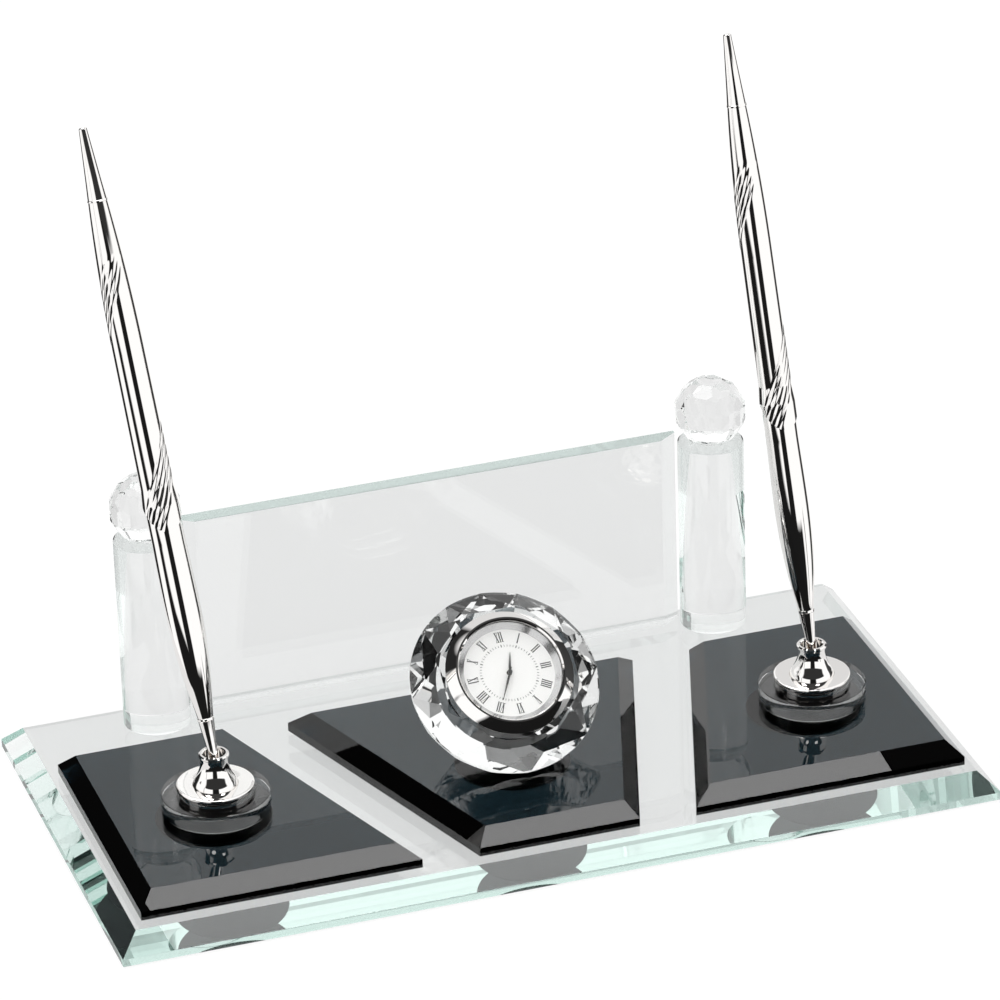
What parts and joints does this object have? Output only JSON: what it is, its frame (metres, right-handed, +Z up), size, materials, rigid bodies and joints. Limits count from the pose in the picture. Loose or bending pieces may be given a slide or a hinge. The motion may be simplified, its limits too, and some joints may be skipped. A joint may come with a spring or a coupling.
{
  "type": "glass desk set",
  "caption": "Clear glass desk set with smoked glass plates, an upright blank name plate between ball-topped pillars, a faceted crystal clock and twist pens in swivelling cups.",
  "frame": {"origin": "centre of the base slab's underside", "axes": "+X to the user's right along the width, +Y to the back, +Z up"},
  "size_m": [0.25, 0.13, 0.2009],
  "materials": {
    "clear_glass": "polished, pale green in the edges",
    "smoked_glass": "polished smoked grey",
    "crystal": "cut and polished",
    "adhesive": "clear cured adhesive",
    "chrome": "mirror polished",
    "brass": "turned",
    "black_plastic": "moulded",
    "rubber": "moulded",
    "lens_glass": "polished",
    "dial_white": "satin white",
    "hand_black": "gloss black",
    "steel": "plated"
  },
  "bodies": {
    "base": {"base_slab": "clear_glass", "left_bond": "adhesive", "centre_bond": "adhesive", "right_bond": "adhesive", "left_plate": "smoked_glass", "centre_plate": "smoked_glass", "right_plate": "smoked_glass", "name_plate": "clear_glass", "left_pillar": "clear_glass", "right_pillar": "clear_glass", "left_ball": "crystal", "right_ball": "crystal", "left_disc": "clear_glass", "right_disc": "clear_glass", "left_flange": "chrome", "right_flange": "chrome", "clock_crystal": "crystal"},
    "left_swivel": {"left_cup": "chrome"},
    "left_pen": {"left_lower_barrel": "chrome", "left_nozzle": "chrome", "left_nozzle_ring": "chrome"},
    "left_twist": {"left_upper_barrel": "chrome", "left_twist_core": "black_plastic", "left_tail_ring": "chrome", "left_tail": "chrome"},
    "left_ink": {"left_refill": "brass"},
    "right_swivel": {"right_cup": "chrome"},
    "right_pen": {"right_lower_barrel": "chrome", "right_nozzle": "chrome", "right_nozzle_ring": "chrome"},
    "right_twist": {"right_upper_barrel": "chrome", "right_twist_core": "black_plastic", "right_tail_ring": "chrome", "right_tail": "chrome"},
    "right_ink": {"right_refill": "brass"},
    "clock_insert": {"clock_bezel": "chrome", "clock_lens": "lens_glass", "clock_rehaut": "chrome", "clock_dial": "dial_white", "clock_case": "black_plastic", "clock_gasket": "rubber", "clock_movement": "black_plastic", "clock_battery": "steel", "clock_arbor": "brass"},
    "knob": {"setting_knob": "black_plastic"},
    "hours": {"hour_hand": "hand_black"},
    "minutes": {"minute_hand": "hand_black"}
  },
  "joints": [
    {"name": "left_cup_tilt", "type": "hinge", "parent": "base", "child": "left_swivel", "pos_m": [-0.08465, -0.0164, 0.021], "axis": [1, 0, 0], "range_deg": [-15, 15]},
    {"name": "left_pen_lift", "type": "slide", "parent": "left_swivel", "child": "left_pen", "axis": [-0.0748, 0.2913, 0.9537], "range_m": [0, 0.03]},
    {"name": "left_pen_twist", "type": "hinge", "parent": "left_pen", "child": "left_twist", "pos_m": [-0.08411, -0.01851, 0.02321], "axis": [-0.0748, 0.2913, 0.9537], "range_deg": [0, 180]},
    {"name": "left_refill_feed", "type": "slide", "parent": "left_pen", "child": "left_ink", "axis": [0.0748, -0.2913, -0.9537], "range_m": [0, 0.003]},
    {"name": "right_cup_tilt", "type": "hinge", "parent": "base", "child": "right_swivel", "pos_m": [0.08795, -0.0164, 0.021], "axis": [1, 0, 0], "range_deg": [-15, 15]},
    {"name": "right_pen_lift", "type": "slide", "parent": "right_swivel", "child": "right_pen", "axis": [-0.0475, 0.2216, 0.974], "range_m": [0, 0.03]},
    {"name": "right_pen_twist", "type": "hinge", "parent": "right_pen", "child": "right_twist", "pos_m": [0.08827, -0.01788, 0.02303], "axis": [-0.0475, 0.2216, 0.974], "range_deg": [0, 180]},
    {"name": "right_refill_feed", "type": "slide", "parent": "right_pen", "child": "right_ink", "axis": [0.0475, -0.2216, -0.974], "range_m": [0, 0.003]},
    {"name": "clock_pull", "type": "slide", "parent": "base", "child": "clock_insert", "axis": [0, -0.6691, 0.7431], "range_m": [0, 0.02]},
    {"name": "knob_turn", "type": "hinge", "parent": "clock_insert", "child": "knob", "pos_m": [0.0004, -0.0098, 0.03323], "axis": [0, -0.6691, 0.7431], "continuous": true},
    {"name": "minute_turn", "type": "hinge", "parent": "clock_insert", "child": "minutes", "pos_m": [0.0004, -0.0098, 0.03323], "axis": [0, -0.6691, 0.7431], "continuous": true},
    {"name": "hour_turn", "type": "hinge", "parent": "clock_insert", "child": "hours", "pos_m": [0.0004, -0.0098, 0.03323], "axis": [0, -0.6691, 0.7431], "continuous": true}
  ],
  "couplings": [
    {"joint": "left_refill_feed", "follows": "left_pen_twist", "m_per_rad": 0.00095483},
    {"joint": "right_refill_feed", "follows": "right_pen_twist", "m_per_rad": 0.00095483},
    {"joint": "knob_turn", "follows": "minute_turn", "ratio": 1},
    {"joint": "hour_turn", "follows": "minute_turn", "ratio": 0.083333}
  ]
}
